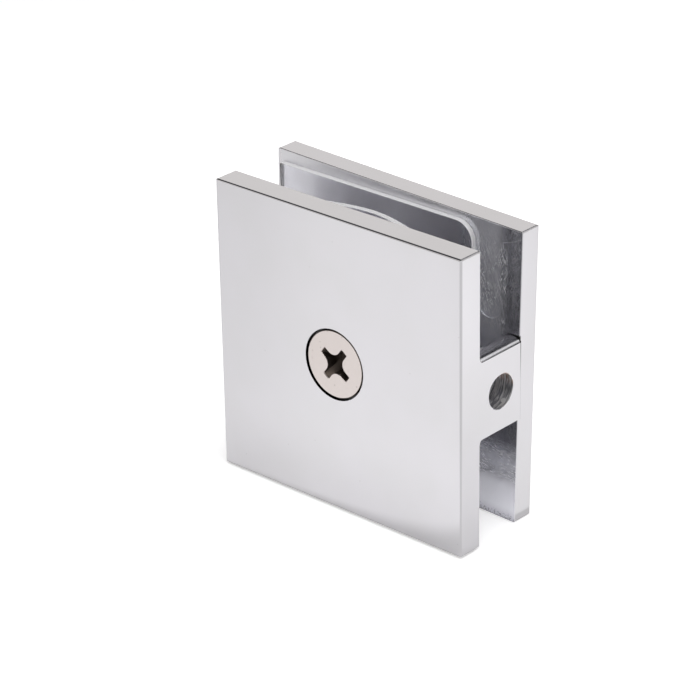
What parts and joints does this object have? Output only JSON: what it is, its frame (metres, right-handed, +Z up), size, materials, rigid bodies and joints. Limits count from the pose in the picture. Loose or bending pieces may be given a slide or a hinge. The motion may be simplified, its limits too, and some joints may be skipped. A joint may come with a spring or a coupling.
{
  "type": "glass panel clamp",
  "caption": "Square U-shaped glass clamp: front plate with cast wall lug, screwed-on back plate, countersunk cross-recess screw and clear gaskets; fixes a glass pane's edge to a wall.",
  "frame": {"origin": "centre of the wall hole's mouth, on the wall face of the lug", "axes": "+X out of the wall face towards the wall, +Y from the front plate to the back plate, +Z up"},
  "size_m": [0.0512, 0.0185, 0.0512],
  "materials": {
    "polished_chrome": "polished chrome plate on a casting, scuffed on the inner faces",
    "nickel_screw": "nickel plate, slightly warm",
    "clear_gasket": "clear soft plastic sheet"
  },
  "bodies": {
    "clamp_body": {"clamp_body": "polished_chrome", "front_gasket": "clear_gasket"},
    "clamp_screw": {"clamp_screw": "nickel_screw"},
    "back_plate": {"back_plate": "polished_chrome", "back_gasket": "clear_gasket"}
  },
  "joints": [
    {"name": "screw_turn", "type": "hinge", "parent": "clamp_body", "child": "clamp_screw", "pos_m": [-0.0256, 0, 0.0001], "axis": [0, -1, 0], "range_deg": [0, 1800]},
    {"name": "back_plate_travel", "type": "slide", "parent": "clamp_body", "child": "back_plate", "axis": [0, 1, 0], "range_m": [0, 0.005]}
  ],
  "couplings": [
    {"joint": "screw_turn", "follows": "back_plate_travel", "rad_per_m": 6283.2}
  ]
}
